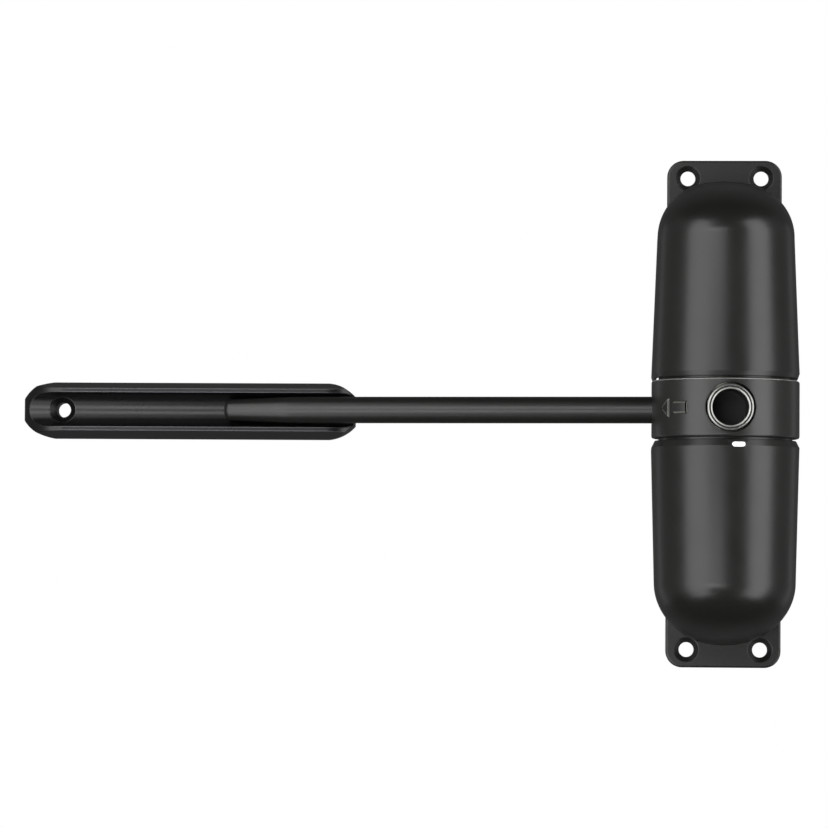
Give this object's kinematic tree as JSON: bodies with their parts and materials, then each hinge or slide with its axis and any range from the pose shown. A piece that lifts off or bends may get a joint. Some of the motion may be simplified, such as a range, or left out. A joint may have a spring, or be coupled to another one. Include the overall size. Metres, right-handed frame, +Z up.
{
  "type": "spring door closer",
  "caption": "Surface-mounted spring door closer: upright domed body with a turning drum, a round arm and a grooved rail that its tip slides in.",
  "frame": {"origin": "centre of the body's four-screw pattern, on the mounting plane", "axes": "+Z up along the drum's axle, +Y into the wall or door frame, the arm points to -X"},
  "size_m": [0.235, 0.0471, 0.154],
  "materials": {
    "black_plate": "satin",
    "black_shell": "satin",
    "black_drum": "satin",
    "black_arm": "satin",
    "black_rail": "satin",
    "socket_steel": "satin",
    "zinc_steel": "bright zinc",
    "bare_steel": "machined",
    "spring_steel": "oiled",
    "brass": "machined",
    "nylon": "moulded"
  },
  "bodies": {
    "housing": {"back_plate": "black_plate", "upper_shell": "black_shell", "lower_shell": "black_shell", "shell_screws": "zinc_steel", "upper_bracket": "bare_steel", "lower_bracket": "bare_steel", "bracket_rivets": "zinc_steel", "axle": "bare_steel", "axle_clip": "spring_steel", "upper_spacer": "zinc_steel", "lower_spacer": "zinc_steel", "upper_washer": "nylon", "lower_washer": "nylon", "upper_spring": "spring_steel", "lower_spring": "spring_steel"},
    "arm": {"drum_ring": "black_drum", "hub": "bare_steel", "upper_bush": "brass", "lower_bush": "brass", "tension_sockets": "socket_steel", "index_disc": "bare_steel", "arm": "black_arm"},
    "rail": {"rail": "black_rail"},
    "stop_pin": {"stop_pin": "zinc_steel"}
  },
  "joints": [
    {"name": "arm_swing", "type": "hinge", "parent": "housing", "child": "arm", "pos_m": [0, -0.0248, 0], "axis": [0, 0, 1], "range_deg": [0, 120], "stiffness_Nm_per_rad": 1.2, "springref_deg": -90, "deforming": ["upper_spring", "lower_spring"]},
    {"name": "rail_slide", "type": "slide", "parent": "arm", "child": "rail", "axis": [1, 0, 0], "range_m": [-0.03, 0.04]},
    {"name": "stop_pin_slide", "type": "slide", "parent": "housing", "child": "stop_pin", "axis": [-0.1564, 0.9877, 0], "range_m": [-0.005, 0.0036]}
  ]
}
